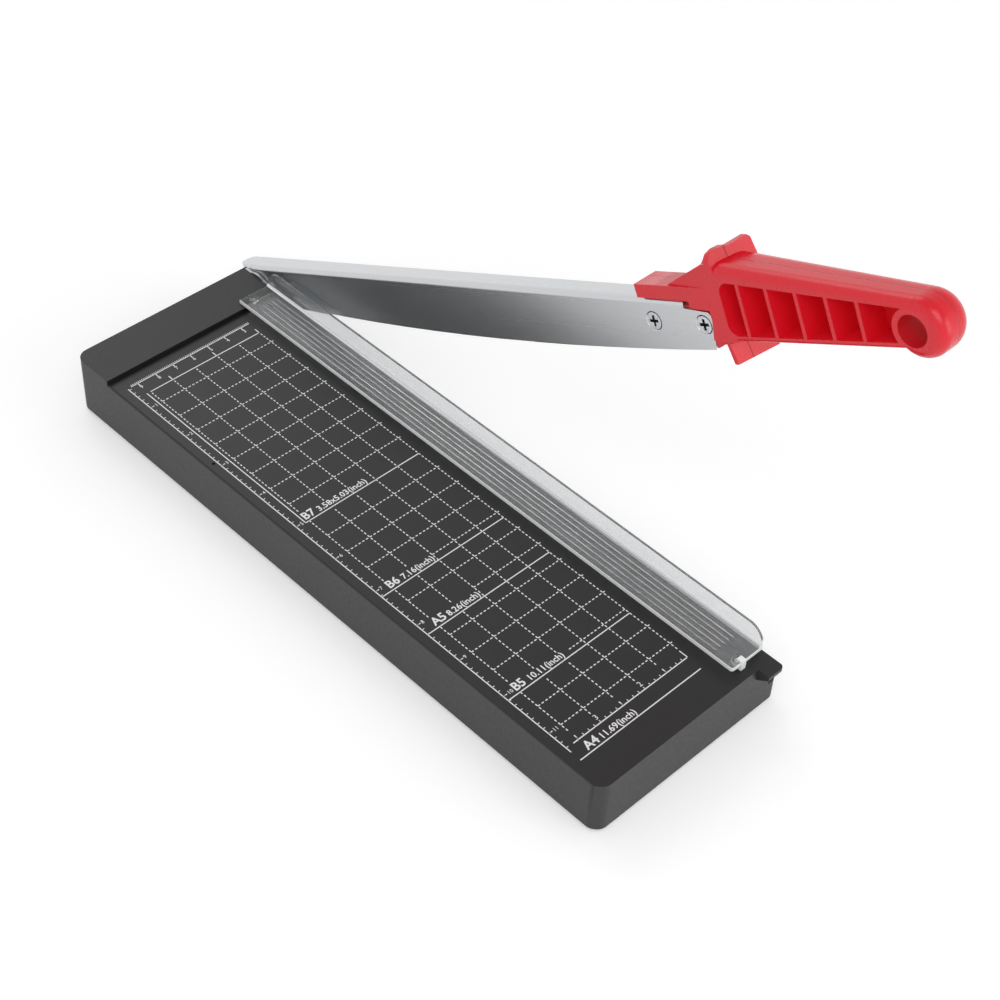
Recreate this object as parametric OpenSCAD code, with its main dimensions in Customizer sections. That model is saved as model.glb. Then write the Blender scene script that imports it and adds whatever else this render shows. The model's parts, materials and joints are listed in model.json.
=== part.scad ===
// Small guillotine paper trimmer: moulded base with a paper fence, clear guard, hinged blade arm and handle.
// Sizes are in millimetres. The sub-parts are drawn from the bed: x from the left side of the base towards
// the cut, y from the foot of the fence (positive behind the fence), z up from the bed. placed() then moves
// the whole object to its own origin, in the middle of its box, on the surface that it stands on.

/* [Base] */
// Width of the bed, from the left side to the cutting edge
base_w = 101; // [92:1:120]
// Length of the bed, from the foot of the fence to the near end
bed_l = 313; // [290:1:340]
// Height of the bed above the lower rim
base_h = 27; // [26:1:34]
// Thickness of the outer walls
wall_t = 2.6; // [2:0.2:3.4]
// Thickness of the bed
bed_t = 3; // [2.4:0.2:3.6]
// Radius of the two left corners in plan
corner_r = 6; // [3:1:12]
// Radius of the rounded left edge of the bed
edge_r = 1.2; // [0.6:0.2:2]
// Thickness of the stiffening ribs under the bed
rib_t = 1.6; // [1.2:0.2:2.4]
// Height of the ribs' lower edges above the lower rim
rib_lift = 0.6; // [0.4:0.1:1.2]
// Diameter of the pin mark at the left side of the bed
pin_d = 1.6; // [1:0.1:2]
// Depth of the pin mark
pin_depth = 0.8; // [0.4:0.1:1.2]
// Cells between the ribs across the base
cells_across = 3; // [3:1:4]
// Cells between the ribs along the base
cells_along = 9; // [9:1:11]

/* [Fence] */
// Depth of the raised fence block
fence_d = 24.5; // [20:0.5:30]
// Height of the fence above the bed
fence_h = 2.2; // [1.6:0.2:3.6]
// Thickness of the roof of the fence block
fence_roof_t = 1.6; // [1.2:0.2:2]

/* [Near corner] */
// Width of the tongue at the near right corner
tongue_w = 9.5; // [8:0.5:14]
// Reach of the tongue beyond the near end
tongue_l = 6; // [4:0.5:9]
// Thickness of the tongue at its tip
tongue_t = 2; // [1.6:0.2:3]
// Thickness of the tongue at its root
tongue_root_t = 6.2; // [5:0.2:8]
// Radius of the tongue's outer corner
tongue_r = 2; // [1:0.5:3]
// Reach of the skirt beyond the cutting edge
skirt_w = 6.5; // [4:0.5:7]
// Radius of the skirt's near corner
skirt_r = 4; // [2:0.5:4]
// Depth of the skirt's top below the bed
skirt_drop = 16.4; // [16.4:0.2:18]

/* [Lower blade] */
// Thickness of the fixed lower blade
knife_t = 1.5; // [1.2:0.1:2]
// Height of the fixed lower blade
knife_h = 16; // [13:1:18]
// Distance from the near end of the bed to the end of the lower blade
knife_end = 7; // [5:1:12]
// Distance from the back of the fence block to the end of the lower blade
knife_tail = 1; // [1:0.5:3]
// Radius of the lower blade's lug round the pivot
lug_r = 9.5; // [8:0.5:10.5]
// Number of screws in the lower blade
knife_screws = 4; // [3:1:6]

/* [Guard] */
// Width of the clear guard's foot
guard_w = 18.8; // [14:0.2:20]
// Thickness of the guard
guard_t = 2; // [1.6:0.1:2.6]
// Height of the guard's upright fin above its underside
fin_h = 11.3; // [9:0.1:12]
// Thickness of the fin
fin_t = 1.2; // [1:0.1:2]
// Gap from the fin to the cutting plane
fin_gap = 1.4; // [1.4:0.1:3]
// Radius of the fin's two upper corners
fin_r = 8; // [4:0.5:8.5]
// Overlap of the guard onto the fence block
guard_lap = 4.5; // [4:0.5:7]
// Distance from the near end of the bed to the guard
guard_end = 5; // [3:0.5:8]
// Number of ridges along the guard's foot
ridges = 5; // [3:1:6]
// Distance from the guard's ends to the ends of the ridges
ridge_stop = 11; // [8:0.5:14]
// Width of a ridge
ridge_w = 1; // [0.6:0.1:1.2]
// Height of a ridge
ridge_h = 0.5; // [0.3:0.1:0.8]
// Diameter of the two posts that carry the guard
post_d = 4.6; // [4.4:0.2:6]
// Width of the small lug at the guard's near end
lug_w = 2.8; // [2:0.2:4]

/* [Pivot] */
// Distance of the pivot behind the foot of the fence
pivot_back = 14.5; // [12:0.5:16]
// Depth of the pivot below the bed
pivot_drop = 6; // [6:0.2:7]
// Diameter of the pivot bolt
bolt_d = 6; // [5:0.2:6.4]
// Diameter of the bolt's button head
bolt_head_d = 10.5; // [9:0.5:11]
// Height of the bolt's button head
bolt_head_h = 3.3; // [2.5:0.1:4]
// Diameter of the washers on the bolt
washer_d = 10.8; // [10:0.2:11]
// Thickness of the washers on the bolt
washer_t = 1.2; // [0.8:0.1:1.6]
// Wall thickness of the bush in the arm
bush_t = 1.4; // [1:0.1:1.8]
// Thickness of the bush's flange
bush_flange_t = 1.4; // [1:0.1:2]
// Thickness of the base wall at the pivot
pivot_wall_t = 4; // [3:0.5:5]
// Height of the disc spring
disc_h = 1.5; // [1.2:0.1:2]
// Thickness of the disc spring
disc_t = 0.8; // [0.6:0.1:1]
// Width of the lock nut across its flats
nut_af = 10; // [9:0.5:10.5]
// Thickness of the lock nut
nut_t = 6; // [5:0.5:7]

/* [Blade arm] */
// Angle of the raised arm, in degrees
rest_angle = 28.2; // [20:0.1:35]
// Thickness of the arm's steel
arm_t = 1.6; // [1.2:0.1:2]
// Gap between the arm and the lower blade
arm_gap = 0.3; // [0.2:0.1:0.5]
// Height of the fold above the pivot line at the handle
fold_h = 9.6; // [9.4:0.1:11]
// Rise of the fold from the handle to the pivot
fold_rise = 2.4; // [0.4:0.1:3]
// Outer radius of the fold
fold_r = 2.4; // [2:0.1:3]
// Length of the arm's plate from the pivot to the middle of its end
plate_l = 310; // [300:1:320]
// Depth of the cutting edge below the pivot, at its lowest
edge_drop = 14.35; // [13:0.05:16]
// Distance from the pivot to the lowest place of the cutting edge
edge_low = 181; // [160:1:200]
// Radius of the bowed cutting edge
edge_bow_r = 1900; // [1700:10:2400]
// Width of the ground bevel behind the cutting edge
bevel_w = 4; // [3:0.5:6]
// Width of the flange at the pivot
flange_w = 11; // [9:0.2:14]
// Width of the flange at the handle
flange_w_end = 10; // [8:0.2:12]
// Reach of the flange behind the pivot
flange_tail = 15.5; // [13:0.5:20]
// Radius of the plate round the pivot
pivot_pad_r = 9.5; // [9:0.1:10]

/* [Handle] */
// Thickness of the handle
handle_w = 20.4; // [19:0.2:24]
// Step of the handle's face in front of the arm's plate
face_step = 1.3; // [1.1:0.1:1.6]
// Length of the handle behind the end of the plate
grip_l = 109.4; // [100:0.2:120]
// Taper of the handle's far side, from the front of the grip to its round end
end_thin = 3; // [1:0.1:4]
// Radius of the grip's upper edge on the side of the cut
top_face_r = 4.2; // [2:0.2:4.6]
// Radius of the grip's upper edge on the far side
top_back_r = 7.6; // [5:0.1:9]
// Radius of the grip's lower edge on the side of the cut
low_face_r = 1.4; // [0.8:0.1:1.6]
// Radius of the grip's lower edge on the far side
low_back_r = 6; // [3:0.5:7]
// Radius of the rim of the grip's round end on the side of the cut
end_face_r = 4.4; // [2:0.1:5]
// Radius of the rim of the grip's round end on the far side
end_back_r = 7.8; // [5:0.1:9]
// Radius of the round end of the grip
grip_end_r = 11.6; // [10.6:0.1:12.6]
// Height of the middle of the round end above the pivot line
grip_end_h = 4.8; // [4:0.1:7]
// Height of the grip's crest above the pivot line at its front
crest_h = 25.8; // [24:0.1:27]
// Height of the grip's underside below the pivot line at its front
belly_drop = 5.6; // [5:0.1:6.4]
// Depth of the recess in the grip's face
recess_depth = 12; // [8:0.5:15]
// Width of the rim below the recess
rim_w = 2.2; // [1.6:0.1:3]
// Width of the rim above the recess
brow_w = 6.7; // [5.6:0.1:7.6]
// Radius of the recess's two front corners
recess_r = 4.6; // [3:0.2:6]
// Number of ribs in the recess
grip_ribs = 5; // [3:1:6]
// Distance between the ribs in the recess
grip_rib_pitch = 13.85; // [11:0.05:14]
// Thickness of the ribs in the recess
grip_rib_t = 1.6; // [1.2:0.1:2.2]
// Radius of the hanging hole
hang_r = 6.2; // [5:0.1:6.6]
// Thickness of the wall between the hanging hole and the recess
boss_t = 2.4; // [1.6:0.1:3]
// Distance from the middle of the round end back to the hanging hole
hang_back = 1.7; // [1:0.1:3]
// Height of the top of the hand guard above the pivot line
hand_guard_h = 29.6; // [28:0.1:33]
// Distance from the end of the plate to the back of the hand guard
hand_guard_back = 8.8; // [8:0.1:10]
// Thickness of the upper hand guard
hand_guard_t = 2.8; // [2.2:0.1:4]
// Lean of the hand guards towards the pivot, in degrees
hand_lean = 10.5; // [5:0.5:15]
// Turn of the hand guards away from square, in degrees
hand_turn = 11.3; // [5:0.1:15]
// Length of the ramp in front of the hand guard
ramp_l = 27.5; // [24:0.5:30]
// Step of the ramp's face behind the cap's face, at the front of the ramp
ramp_step = 1.2; // [0.6:0.1:2]
// Depth of the lower hand guard below the pivot line
fin_drop = 15.5; // [13:0.1:16]
// Thickness of the lower hand guard
hand_fin_t = 1.8; // [1.6:0.1:3]
// Length of the cap over the arm's fold
cap_l = 36; // [32:0.5:40]
// Height of the cap over the fold
cap_h = 6.2; // [5:0.1:7]
// Thickness of the tang behind the arm's plate
tang_t = 10; // [8:0.5:12]
// Distance between the two handle screws
screw_pitch = 27.1; // [22:0.1:28]
// Distance from the end of the plate to the nearer handle screw
screw_back = 4.8; // [4.6:0.1:6]

/* [Fasteners] */
// Diameter of the handle screws
handle_screw_d = 4; // [3:0.5:4]
// Diameter of the handle screws' countersunk heads
handle_head_d = 7.4; // [7:0.2:8]
// Gap round the countersunk heads of the handle screws
head_gap = 0.45; // [0.2:0.05:0.6]
// Width of the handle nuts across their flats
handle_nut_af = 7; // [6:0.5:7.5]
// Thickness of the handle nuts
handle_nut_t = 3.2; // [2.4:0.1:3.6]
// Diameter of the lower blade's screws
knife_screw_d = 3; // [2.5:0.1:3.4]
// Diameter of the lower blade's countersunk screw heads
knife_head_d = 5.6; // [5:0.1:6.4]
// Length of the lower blade's screws
knife_screw_l = 10; // [8:0.5:12]
// Diameter of the guard's screws
guard_screw_d = 2.6; // [2:0.1:3]
// Diameter of the guard's screw heads
guard_head_d = 6; // [5.4:0.1:7]
// Length of the guard's screws below their heads
guard_screw_l = 10; // [8:0.5:12]

/* [Feet] */
// Diameter of the rubber feet
foot_d = 13; // [10:0.5:16]
// Height of the rubber feet
foot_t = 3; // [2.4:0.2:4]
// Depth of the feet in their sockets
foot_sunk = 1; // [0.6:0.1:1.4]
// Distance of the feet from the left, near and far sides
foot_inset = 14; // [12:0.5:16]

/* [Hidden] */
$fa = 3;
$fs = 0.4;
// Clearance of a shaft that turns in its hole, on the radius
run_gap = 0.05;
// Clearance of a piece that seats in another, on the radius
seat_gap = 0.03;
// Clearance between faces that pass each other
face_gap = 0.25;
// Overlap that makes cuts go right through
cut = 1;

// Positions from the left side of the base towards the right
knife_in = base_w - knife_t;
arm_in = base_w + arm_gap;
arm_out = arm_in + arm_t;
bush_out = arm_out + bush_flange_t;
head_washer_in = bush_out + face_gap;
head_in = head_washer_in + washer_t;
wall_in = knife_in - pivot_wall_t;
inner_washer_in = wall_in - washer_t;
disc_in = inner_washer_in - disc_h;
nut_in = disc_in - nut_t;
handle_in = arm_in - face_step;
handle_out = handle_in + handle_w;
end_w = handle_w - end_thin;
tang_out = arm_out + seat_gap + tang_t;
cap_out = arm_in + flange_w_end + 1;
fin_out = base_w - fin_gap;
guard_left = fin_out - guard_w;
right_wall_in = knife_in - wall_t;

// Positions from the foot of the fence
guard_far = guard_lap;
guard_near = guard_end - bed_l;
knife_far = fence_d - knife_tail;
knife_near = knife_end - bed_l;

// Heights above the bed
rim_z = -base_h;
floor_z = rim_z - foot_t + foot_sunk;
guard_z = fence_h;
skirt_z = -skirt_drop;
bush_r = bolt_d / 2 + run_gap + bush_t;

// Places of the lower blade's screws along the bed
function knife_screw_y(i) = -bed_l * (0.1 + 0.8 * i / (knife_screws - 1));
knife_screw_z = -knife_h / 2 - 1;

// Places of the guard's two posts
post_x = guard_left + 0.34 * guard_w;
post_far_y = guard_far - post_d / 2 - 0.6;
post_near_y = guard_near + post_d / 2 + 0.3;
post_bottom = -bed_t - 3;

// Places of the four feet: near left, near right, far left and far right
foot_right = base_w + skirt_w - foot_inset + 3;
foot_near = foot_inset - bed_l;
foot_far = fence_d - foot_inset;
foot_spots = [[foot_inset, foot_near], [foot_right, foot_near + 10],
    [foot_inset, foot_far], [foot_right, -foot_inset]];

// Measures of the arm, u along the arm from the pivot and v above the pivot line
bend_v = fold_h - fold_r;
flange_under = fold_h - arm_t;
flange_end = plate_l - 13;
fold_lean = atan(fold_rise / flange_end);
step_v = bend_v - 1;
end_lean = 0.217;
screw_1 = plate_l - screw_back - screw_pitch;
screw_2 = plate_l - screw_back;
edge_cu = edge_low;
edge_cv = edge_bow_r - edge_drop;

// Measures of the handle
grip_end_u = plate_l + grip_l - grip_end_r;
grip_front = plate_l + 2;
nose_u = plate_l + 8;
hand_guard_u = plate_l + hand_guard_back;
crest_end_h = grip_end_h + grip_end_r;
crest_lean = atan2(crest_h - crest_end_h, grip_end_u - grip_front);
belly_end_h = grip_end_h - grip_end_r + 4.6;
belly_lean = atan2(belly_end_h + belly_drop, grip_end_u - grip_front);
back_lean = atan2(end_thin, grip_end_u - grip_front);
recess_front = nose_u + 1.2;
recess_back = grip_end_u - hang_back - hang_r / 2;
rib_first = recess_front + 9.6;
hang_u = grip_end_u - hang_back;
hang_v = grip_end_h - 0.3;

// The surface under the object and the middle of its box are the origin
far_angle = rest_angle - fold_lean;
far_y = pivot_back + (flange_end + flange_tail) * cos(far_angle) + fold_h * sin(far_angle)
    - flange_end * cos(rest_angle);
near_y = pivot_back - grip_end_u * cos(rest_angle) + grip_end_h * sin(rest_angle) - grip_end_r;
origin = [handle_out / 2, (far_y + near_y) / 2, floor_z];

echo(hang_hole = [handle_in + end_w / 2,
    pivot_back - hang_u * cos(rest_angle) + hang_v * sin(rest_angle),
    hang_u * sin(rest_angle) + hang_v * cos(rest_angle) - pivot_drop] - origin);
echo(pivot = [arm_in, pivot_back, -pivot_drop] - origin);
echo(front_left_foot = [foot_inset, foot_inset - bed_l, floor_z] - origin);
echo(closed_angle = asin((belly_drop + pivot_drop + arm_gap) / plate_l) - rest_angle);

// Moves what is drawn from the bed to the object's own origin
module placed() {
    translate(-origin) children();
}

// Moves what is drawn from the pivot to the raised arm
module on_arm() {
    placed() translate([0, pivot_back, -pivot_drop]) rotate([-rest_angle, 0, 0]) children();
}

// Extrudes an outline drawn in (towards the near end, up) from one x to another
module across(x_from, x_to) {
    translate([x_to, 0, 0]) rotate([90, 0, -90]) linear_extrude(x_to - x_from) children();
}

// A round rod along x
module rod(x_from, x_to, r) {
    translate([x_from, 0, 0]) rotate([0, 90, 0]) cylinder(h = x_to - x_from, r = r);
}

// A cone along x
module taper(x_from, x_to, r_from, r_to) {
    translate([x_from, 0, 0]) rotate([0, 90, 0]) cylinder(h = x_to - x_from, r1 = r_from, r2 = r_to);
}

// A washer along x
module ring(x_from, x_to, r, hole_r) {
    difference() {
        rod(x_from, x_to, r);
        rod(x_from - cut, x_to + cut, hole_r);
    }
}

// A hexagon along x with a flat on top
module hexagon(x_from, x_to, across_flats) {
    translate([x_from, 0, 0]) rotate([0, 90, 0])
        cylinder(h = x_to - x_from, d = across_flats / cos(30), $fn = 6);
}

// A cross recess for a screw driver, sunk along x from a face
module cross_recess(x_face, depth, size) {
    for (turn = [0, 90])
        translate([x_face, 0, 0]) rotate([turn, 0, 0])
            translate([0, -size / 2, -size / 8]) cube([2 * depth, size, size / 4], center = false);
}

// Plan of the base with two round corners on the left
module base_plan() {
    translate([corner_r, -bed_l]) square([base_w - corner_r, bed_l + fence_d]);
    translate([0, corner_r - bed_l]) square([base_w, bed_l + fence_d - 2 * corner_r]);
    for (y = [corner_r - bed_l, fence_d - corner_r])
        translate([corner_r, y]) circle(corner_r);
}

// Outer form of the base: body, fence block, tongue and skirt
module base_form() {
    difference() {
        translate([0, 0, rim_z]) linear_extrude(base_h) base_plan();
        translate([0, -bed_l, 0]) difference() {
            translate([-cut, -cut, -edge_r]) cube([edge_r + cut, bed_l + cut, edge_r + cut]);
            translate([edge_r, -2 * cut, -edge_r]) rotate([-90, 0, 0])
                cylinder(h = bed_l + 4 * cut, r = edge_r);
        }
    }
    linear_extrude(fence_h) intersection() {
        base_plan();
        square([base_w, fence_d]);
    }
    tongue();
    translate([base_w - wall_t, -bed_l, rim_z]) linear_extrude(base_h - skirt_drop) {
        square([wall_t, bed_l + fence_d]);
        square([wall_t + skirt_w - skirt_r, skirt_r]);
        translate([0, skirt_r]) square([wall_t + skirt_w, bed_l + fence_d - skirt_r]);
        translate([wall_t + skirt_w - skirt_r, skirt_r]) circle(skirt_r);
    }
}

// Wedge-shaped tongue at the near right corner, with a round outer corner
module tongue() {
    intersection() {
        across(base_w - tongue_w, base_w) polygon([[bed_l - wall_t, 0], [bed_l + tongue_l, 0],
            [bed_l + tongue_l, -tongue_t], [bed_l, -tongue_root_t], [bed_l - wall_t, -tongue_root_t]]);
        translate([base_w - tongue_w, -bed_l - tongue_l, -base_h]) linear_extrude(2 * base_h) {
            translate([0, tongue_r]) square([tongue_w, 2 * tongue_l]);
            square([tongue_w - tongue_r, tongue_l]);
            translate([tongue_w - tongue_r, tongue_r]) circle(tongue_r);
        }
    }
}

// Hollow underside, open downwards, with a higher roof under the fence block and a foot inside the skirt
module base_hollow() {
    inner_w = right_wall_in - wall_t;
    translate([wall_t, wall_t - bed_l, rim_z - cut])
        cube([inner_w, bed_l + fence_d - 2 * wall_t, base_h - bed_t + cut]);
    translate([wall_t, wall_t, rim_z - cut])
        cube([inner_w, fence_d - 2 * wall_t, base_h + fence_h - fence_roof_t + cut]);
    translate([wall_t, wall_t - bed_l, rim_z - cut])
        cube([base_w + skirt_w - 2 * wall_t, bed_l + fence_d - 2 * wall_t,
            base_h - skirt_drop - wall_t + cut]);
}

// Ribs between the cells of the underside
module base_ribs() {
    cell_w = (right_wall_in - wall_t) / cells_across;
    cell_l = bed_l / cells_along;
    rib_z = rim_z + rib_lift;
    rib_h = base_h - rib_lift - bed_t / 2;
    for (i = [1 : cells_across - 1])
        translate([wall_t + i * cell_w - rib_t / 2, -bed_l + wall_t / 2, rib_z]) cube([rib_t, bed_l, rib_h]);
    for (j = [0 : cells_along - 1])
        translate([wall_t / 2, -j * cell_l - rib_t, rib_z]) cube([right_wall_in, rib_t, rib_h]);
}

// Columns that carry the feet, the guard's posts and the lower blade's screws
module base_bosses() {
    for (spot = foot_spots)
        translate([spot.x, spot.y, rim_z]) cylinder(h = base_h - bed_t / 2, d = foot_d + 2 * wall_t);
    for (y = [post_near_y, post_far_y])
        translate([post_x, y, post_bottom - wall_t])
            cylinder(h = -post_bottom + wall_t - bed_t / 2, d = post_d + 2 * wall_t);
    for (i = [0 : knife_screws - 1])
        translate([0, knife_screw_y(i), knife_screw_z])
            rod(knife_in - knife_screw_l - 1, right_wall_in + wall_t / 2, knife_screw_d / 2 + wall_t);
    translate([0, pivot_back, -pivot_drop]) rod(wall_in, right_wall_in + wall_t / 2, washer_d / 2 + 0.6);
}

module base_shell() {
    color("#333333") placed() difference() {
        union() {
            difference() {
                base_form();
                base_hollow();
            }
            intersection() {
                union() {
                    base_ribs();
                    base_bosses();
                }
                base_form();
            }
        }
        lower_blade_seat();
        translate([corner_r / 2 + 0.6, -0.233 * bed_l, -pin_depth]) cylinder(h = pin_depth + cut, d = pin_d);
        for (y = [post_near_y, post_far_y])
            translate([post_x, y, post_bottom - seat_gap]) cylinder(h = base_h, r = post_d / 2 + seat_gap);
        for (y = [post_near_y, post_far_y])
            translate([post_x, y, rim_z - cut]) {
                cylinder(h = base_h + post_bottom + cut, r = guard_screw_d / 2 + seat_gap);
                cylinder(h = base_h + post_bottom - wall_t + cut, r = guard_head_d / 2 + seat_gap);
            }
        for (spot = foot_spots)
            translate([spot.x, spot.y, rim_z - cut]) cylinder(h = foot_sunk + cut, r = foot_d / 2 + seat_gap);
        for (i = [0 : knife_screws - 1])
            translate([0, knife_screw_y(i), knife_screw_z])
                rod(knife_in - knife_screw_l, base_w + cut, knife_screw_d / 2 + seat_gap);
        translate([0, pivot_back, -pivot_drop]) rod(wall_in - cut, base_w + cut, bolt_d / 2 + seat_gap);
    }
}

// Outline of the lower blade in (towards the near end, up)
module lower_blade_outline(grow = 0) {
    translate([-knife_far, -knife_h - grow]) square([knife_far - knife_near + grow, knife_h + grow]);
    translate([-knife_far, -knife_h - grow]) square([knife_far, knife_h + fence_h + grow]);
    translate([-pivot_back, -pivot_drop]) circle(lug_r + grow);
}

// Rebate in the base for the lower blade
module lower_blade_seat() {
    across(knife_in, base_w + cut) lower_blade_outline(seat_gap);
}

module lower_blade() {
    color("#b8babd") placed() difference() {
        across(knife_in, base_w) lower_blade_outline();
        translate([0, pivot_back, -pivot_drop]) rod(knife_in - cut, base_w + cut, bolt_d / 2 + seat_gap);
        for (i = [0 : knife_screws - 1])
            translate([0, knife_screw_y(i), knife_screw_z]) {
                taper(knife_in, base_w, knife_screw_d / 2 + seat_gap, knife_head_d / 2 + seat_gap);
                rod(knife_in - cut, knife_in + cut, knife_screw_d / 2 + seat_gap);
            }
    }
}

module lower_blade_screws() {
    color("#9a9ca0") placed() for (i = [0 : knife_screws - 1])
        translate([0, knife_screw_y(i), knife_screw_z]) difference() {
            union() {
                taper(knife_in, base_w, knife_screw_d / 2, knife_head_d / 2);
                rod(base_w - knife_screw_l, knife_in, knife_screw_d / 2);
            }
            cross_recess(base_w - knife_t / 2, knife_t, knife_head_d / 2);
        }
}

// One rubber foot in its socket
module foot(spot) {
    color("#1c1c1c") placed() translate([spot.x, spot.y, floor_z]) cylinder(h = foot_t, d = foot_d);
}

module foot_near_left() foot(foot_spots[0]);
module foot_near_right() foot(foot_spots[1]);
module foot_far_left() foot(foot_spots[2]);
module foot_far_right() foot(foot_spots[3]);

// Outline of the guard's fin in (towards the near end, up), with round upper corners
module fin_outline() {
    l = guard_far - guard_near;
    translate([-guard_far, 0]) intersection() {
        square([l, fin_h]);
        union() {
            square([l, fin_h - fin_r]);
            translate([fin_r, 0]) square([l - 2 * fin_r, fin_h]);
            for (u = [fin_r, l - fin_r])
                translate([u, fin_h - fin_r]) circle(fin_r);
        }
    }
}

module guard() {
    ridge_l = guard_far - guard_near - 2 * ridge_stop;
    ridge_step = (guard_w - fin_h / 2) / ridges;
    color([0.85, 0.88, 0.9, 0.5]) placed() {
        translate([0, 0, guard_z]) {
            translate([guard_left, guard_near, 0]) cube([guard_w, guard_far - guard_near, guard_t]);
            across(fin_out - fin_t, fin_out) fin_outline();
            for (i = [0 : ridges - 1])
                translate([guard_left + fin_h / 4 + i * ridge_step, guard_near + ridge_stop, guard_t / 2])
                    cube([ridge_w, ridge_l, guard_t / 2 + ridge_h]);
        }
        difference() {
            union() {
                for (y = [post_near_y, post_far_y])
                    translate([post_x, y, post_bottom])
                        cylinder(h = guard_z + guard_t / 2 - post_bottom, d = post_d);
                translate([post_x - lug_w / 2, guard_near - lug_w / 4, 0])
                    cube([lug_w, 2 * lug_w, guard_z + guard_t + 2 * ridge_h]);
            }
            for (y = [post_near_y, post_far_y])
                translate([post_x, y, post_bottom - cut])
                    cylinder(h = guard_screw_l - wall_t + cut, r = guard_screw_d / 2 + seat_gap);
        }
    }
}

module guard_screws() {
    head_z = post_bottom - wall_t;
    color("#9a9ca0") placed() for (y = [post_near_y, post_far_y])
        translate([post_x, y, head_z]) difference() {
            union() {
                cylinder(h = guard_screw_l - 1, d = guard_screw_d);
                translate([0, 0, -2]) cylinder(h = 2, d = guard_head_d);
            }
            for (turn = [0, 90])
                rotate([0, 0, turn]) translate([-guard_head_d / 4, -0.4, -2 - cut])
                    cube([guard_head_d / 2, 0.8, 1 + cut]);
        }
}

// Moves what is drawn from the bed to the pivot axis
module at_pivot() {
    placed() translate([0, pivot_back, -pivot_drop]) children();
}

module pivot_bolt() {
    color("#a5a7aa") at_pivot() difference() {
        union() {
            rod(nut_in - 1, head_in, bolt_d / 2);
            taper(head_in, head_in + bolt_head_h, bolt_head_d / 2, bolt_head_d / 2 - bolt_head_h / 3);
        }
        hexagon(head_in + bolt_head_h / 2, head_in + bolt_head_h + cut, bolt_d * 2 / 3);
    }
}

module pivot_head_washer() {
    color("#c2c4c7") at_pivot() ring(head_washer_in, head_in, washer_d / 2, bolt_d / 2 + seat_gap);
}

module pivot_inner_washer() {
    color("#c2c4c7") at_pivot() ring(inner_washer_in, wall_in, washer_d / 2, bolt_d / 2 + seat_gap);
}

module pivot_disc_spring() {
    color("#77797c") at_pivot() difference() {
        taper(disc_in, inner_washer_in, bolt_d / 2 + disc_h, washer_d / 2);
        taper(disc_in + disc_t, inner_washer_in + disc_t, bolt_d / 2 + disc_h, washer_d / 2);
        rod(disc_in - cut, inner_washer_in + cut, bolt_d / 2 + seat_gap);
    }
}

module pivot_lock_nut() {
    color("#8d8f93") at_pivot() difference() {
        hexagon(nut_in, disc_in, nut_af);
        rod(nut_in - cut, disc_in + cut, bolt_d / 2 + seat_gap);
    }
}

module pivot_bush() {
    color("#b99b54") on_arm() difference() {
        union() {
            rod(arm_in, bush_out, bush_r);
            rod(arm_out, bush_out, bush_r + 1);
        }
        rod(arm_in - cut, bush_out + cut, bolt_d / 2 + run_gap);
    }
}

// Outline of the arm's plate in (along the arm, up), open below for the bowed edge
module plate_outline() {
    low = -2 * edge_drop;
    far_v = step_v + fold_rise * (1 + pivot_pad_r / flange_end);
    polygon([[-pivot_pad_r, 0], [-pivot_pad_r, far_v], [flange_end, step_v],
        [plate_l - 1, step_v - 1], [plate_l + 1, step_v - 3.5],
        [plate_l + 1 + end_lean * (low - step_v + 3.5), low], [0, low]]);
}

// Plan of the flange in (along the arm, across), with a full round tail
module flange_plan() {
    tail_r = (flange_w - fold_r) / 2;
    tail_u = tail_r - flange_tail;
    polygon([[tail_u, fold_r], [flange_end, fold_r], [flange_end, flange_w_end], [tail_u, flange_w]]);
    translate([tail_u, fold_r + tail_r]) circle(tail_r);
}

// Section of the fold, with short legs that run into the plate and the flange
module fold_section() {
    intersection() {
        translate([fold_r, bend_v]) difference() {
            circle(fold_r);
            circle(fold_r - arm_t);
        }
        translate([0, bend_v]) square(fold_r);
    }
    translate([0, bend_v - fold_r]) square([arm_t, fold_r]);
    translate([fold_r, flange_under]) square([fold_r, arm_t]);
}

// The fold and the flange, which rise towards the pivot
module folded_edge() {
    translate([arm_in, -flange_end, 0]) rotate([fold_lean, 0, 0]) translate([0, flange_end, 0]) {
        translate([0, 0, flange_under]) mirror([0, 1, 0]) linear_extrude(arm_t)
            mirror([1, -1]) flange_plan();
        translate([0, pivot_pad_r - 0.5, 0]) rotate([90, 0, 0])
            linear_extrude(flange_end + pivot_pad_r - 1) fold_section();
    }
}

module blade_arm() {
    color("#a9abad") on_arm() difference() {
        union() {
            intersection() {
                across(arm_in, arm_out) plate_outline();
                translate([0, -edge_cu, edge_cv])
                    taper(arm_in, arm_out, edge_bow_r, edge_bow_r - bevel_w, $fn = 720);
            }
            rod(arm_in, arm_out, pivot_pad_r);
            folded_edge();
        }
        rod(arm_in - cut, arm_out + cut, bush_r + seat_gap);
        for (u = [screw_1, screw_2])
            translate([0, -u, 0]) handle_screw_form(seat_gap, head_gap);
    }
}

// Form of a handle screw with its countersunk head, grown for its hole
module handle_screw_form(grow = 0, head_grow = 0) {
    taper(arm_in, arm_out, handle_head_d / 2 + head_grow, handle_screw_d / 2 + 0.4 + grow);
    rod(arm_out - 0.1, tang_out - 0.4 + grow, handle_screw_d / 2 + grow);
}

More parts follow.
